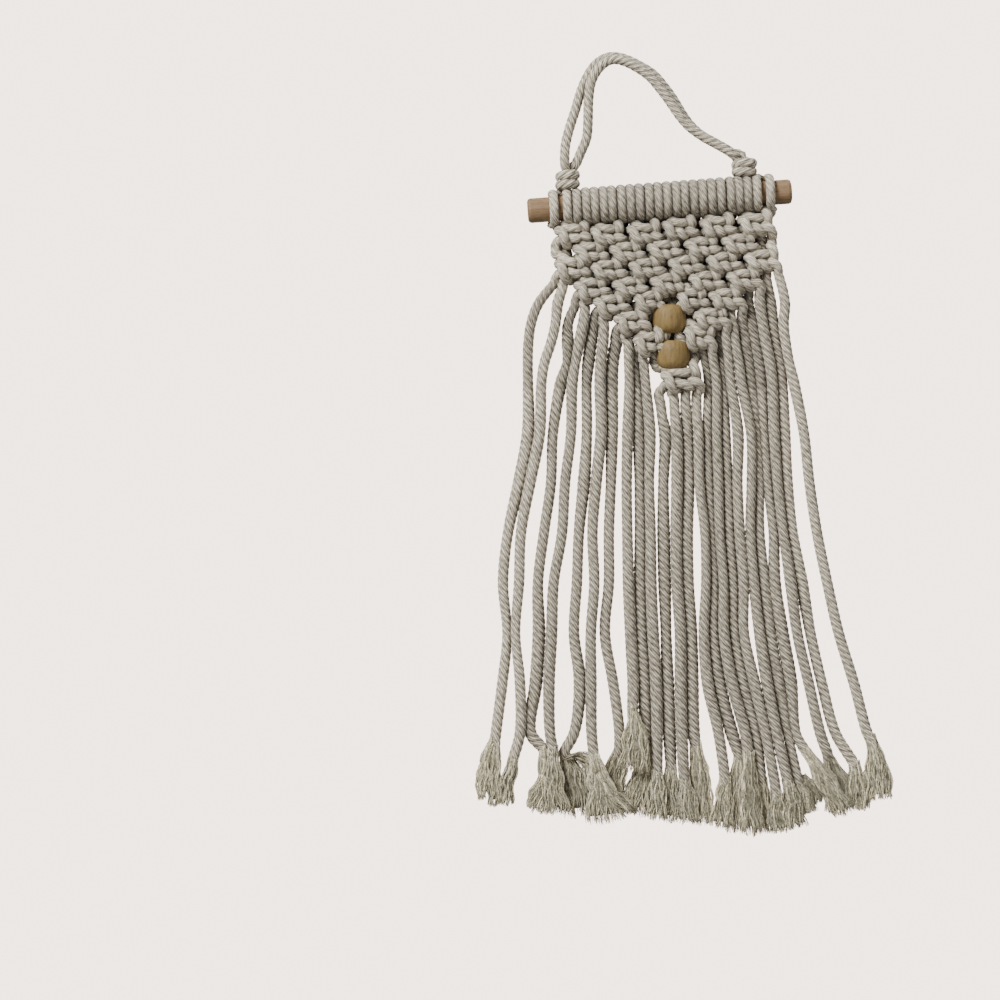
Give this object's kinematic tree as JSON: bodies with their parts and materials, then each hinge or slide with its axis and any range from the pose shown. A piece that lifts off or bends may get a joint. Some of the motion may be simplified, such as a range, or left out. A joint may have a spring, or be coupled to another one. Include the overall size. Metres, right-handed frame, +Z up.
{
  "type": "macrame wall hanging with wooden dowel",
  "caption": "Small V-shaped macrame of square knots with wooden beads and a long fringe, tied on a short dowel and hung by a doubled cord loop.",
  "frame": {"origin": "inside top of the hanging loop, where the hook or nail goes", "axes": "+Z up, the front of the panel looks along -Y, the dowel runs along +X and rises to the right"},
  "size_m": [0.208, 0.0198, 0.3907],
  "materials": {
    "cotton": "matt four-ply twisted natural cotton cord",
    "dowel_wood": "plain brown wood, low sheen",
    "bead_wood": "pale natural wood, satin"
  },
  "bodies": {
    "root": {"dowel": "dowel_wood", "macrame_panel": "cotton", "hanging_loop": "cotton", "bead_upper": "bead_wood", "bead_lower": "bead_wood"}
  },
  "joints": []
}
